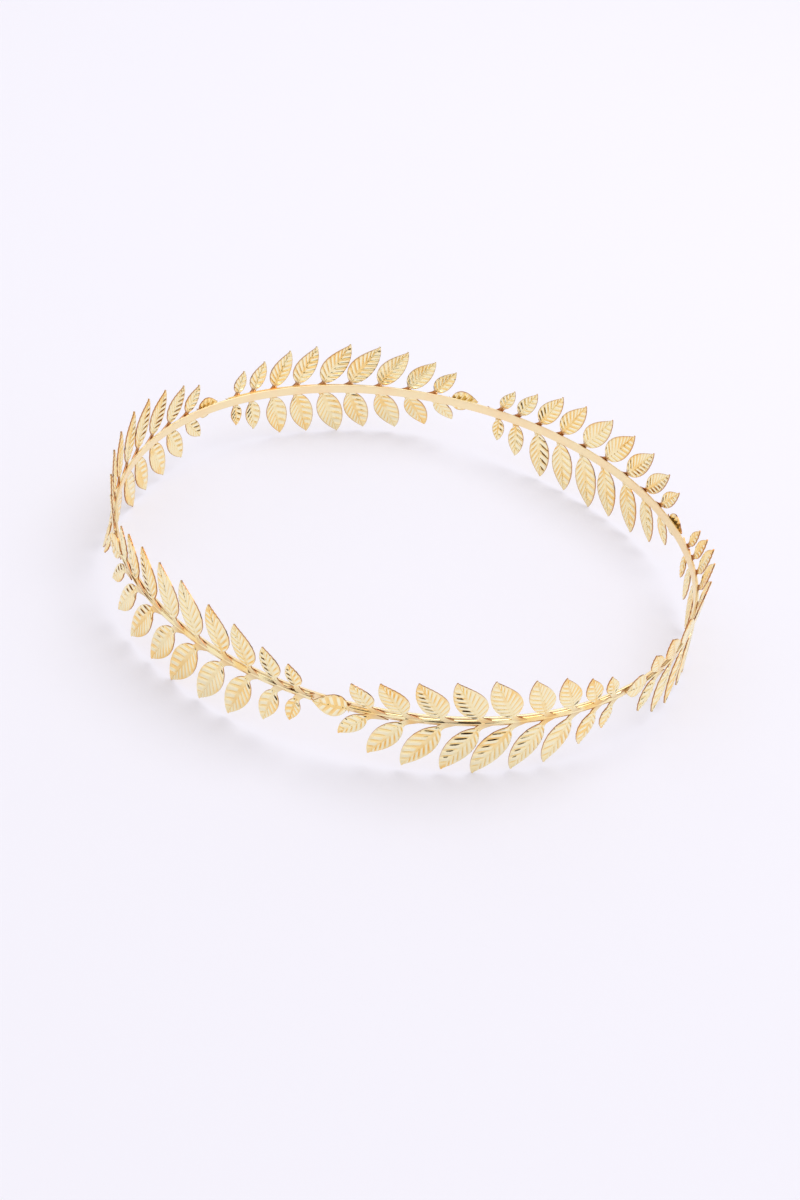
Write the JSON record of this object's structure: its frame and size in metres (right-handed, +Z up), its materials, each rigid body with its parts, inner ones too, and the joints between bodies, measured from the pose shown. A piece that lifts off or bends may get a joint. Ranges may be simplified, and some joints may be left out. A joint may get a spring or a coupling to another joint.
{
  "type": "leaf crown",
  "caption": "Closed thin hoop crown with stamped metal leaf sprays end to end round its outside, each with pairs of pointed veined leaves and an end leaf.",
  "frame": {"origin": "on the hoop's axis, level with the lowest leaf tips, which are what the crown rests on", "axes": "+Z up along the hoop's axis as the crown is worn; +Y towards the back of the picture's view, +X to its right"},
  "size_m": [0.1725, 0.1757, 0.0323],
  "materials": {
    "hoop_gold": "satin pale gold plate with a peach tint",
    "leaf_gold": "bright pale gold plate on pressed sheet"
  },
  "bodies": {
    "root": {"hoop": "hoop_gold", "leaf_spray_1": "leaf_gold", "leaf_spray_2": "leaf_gold", "leaf_spray_3": "leaf_gold", "leaf_spray_4": "leaf_gold", "leaf_spray_5": "leaf_gold", "leaf_spray_6": "leaf_gold"}
  },
  "joints": []
}
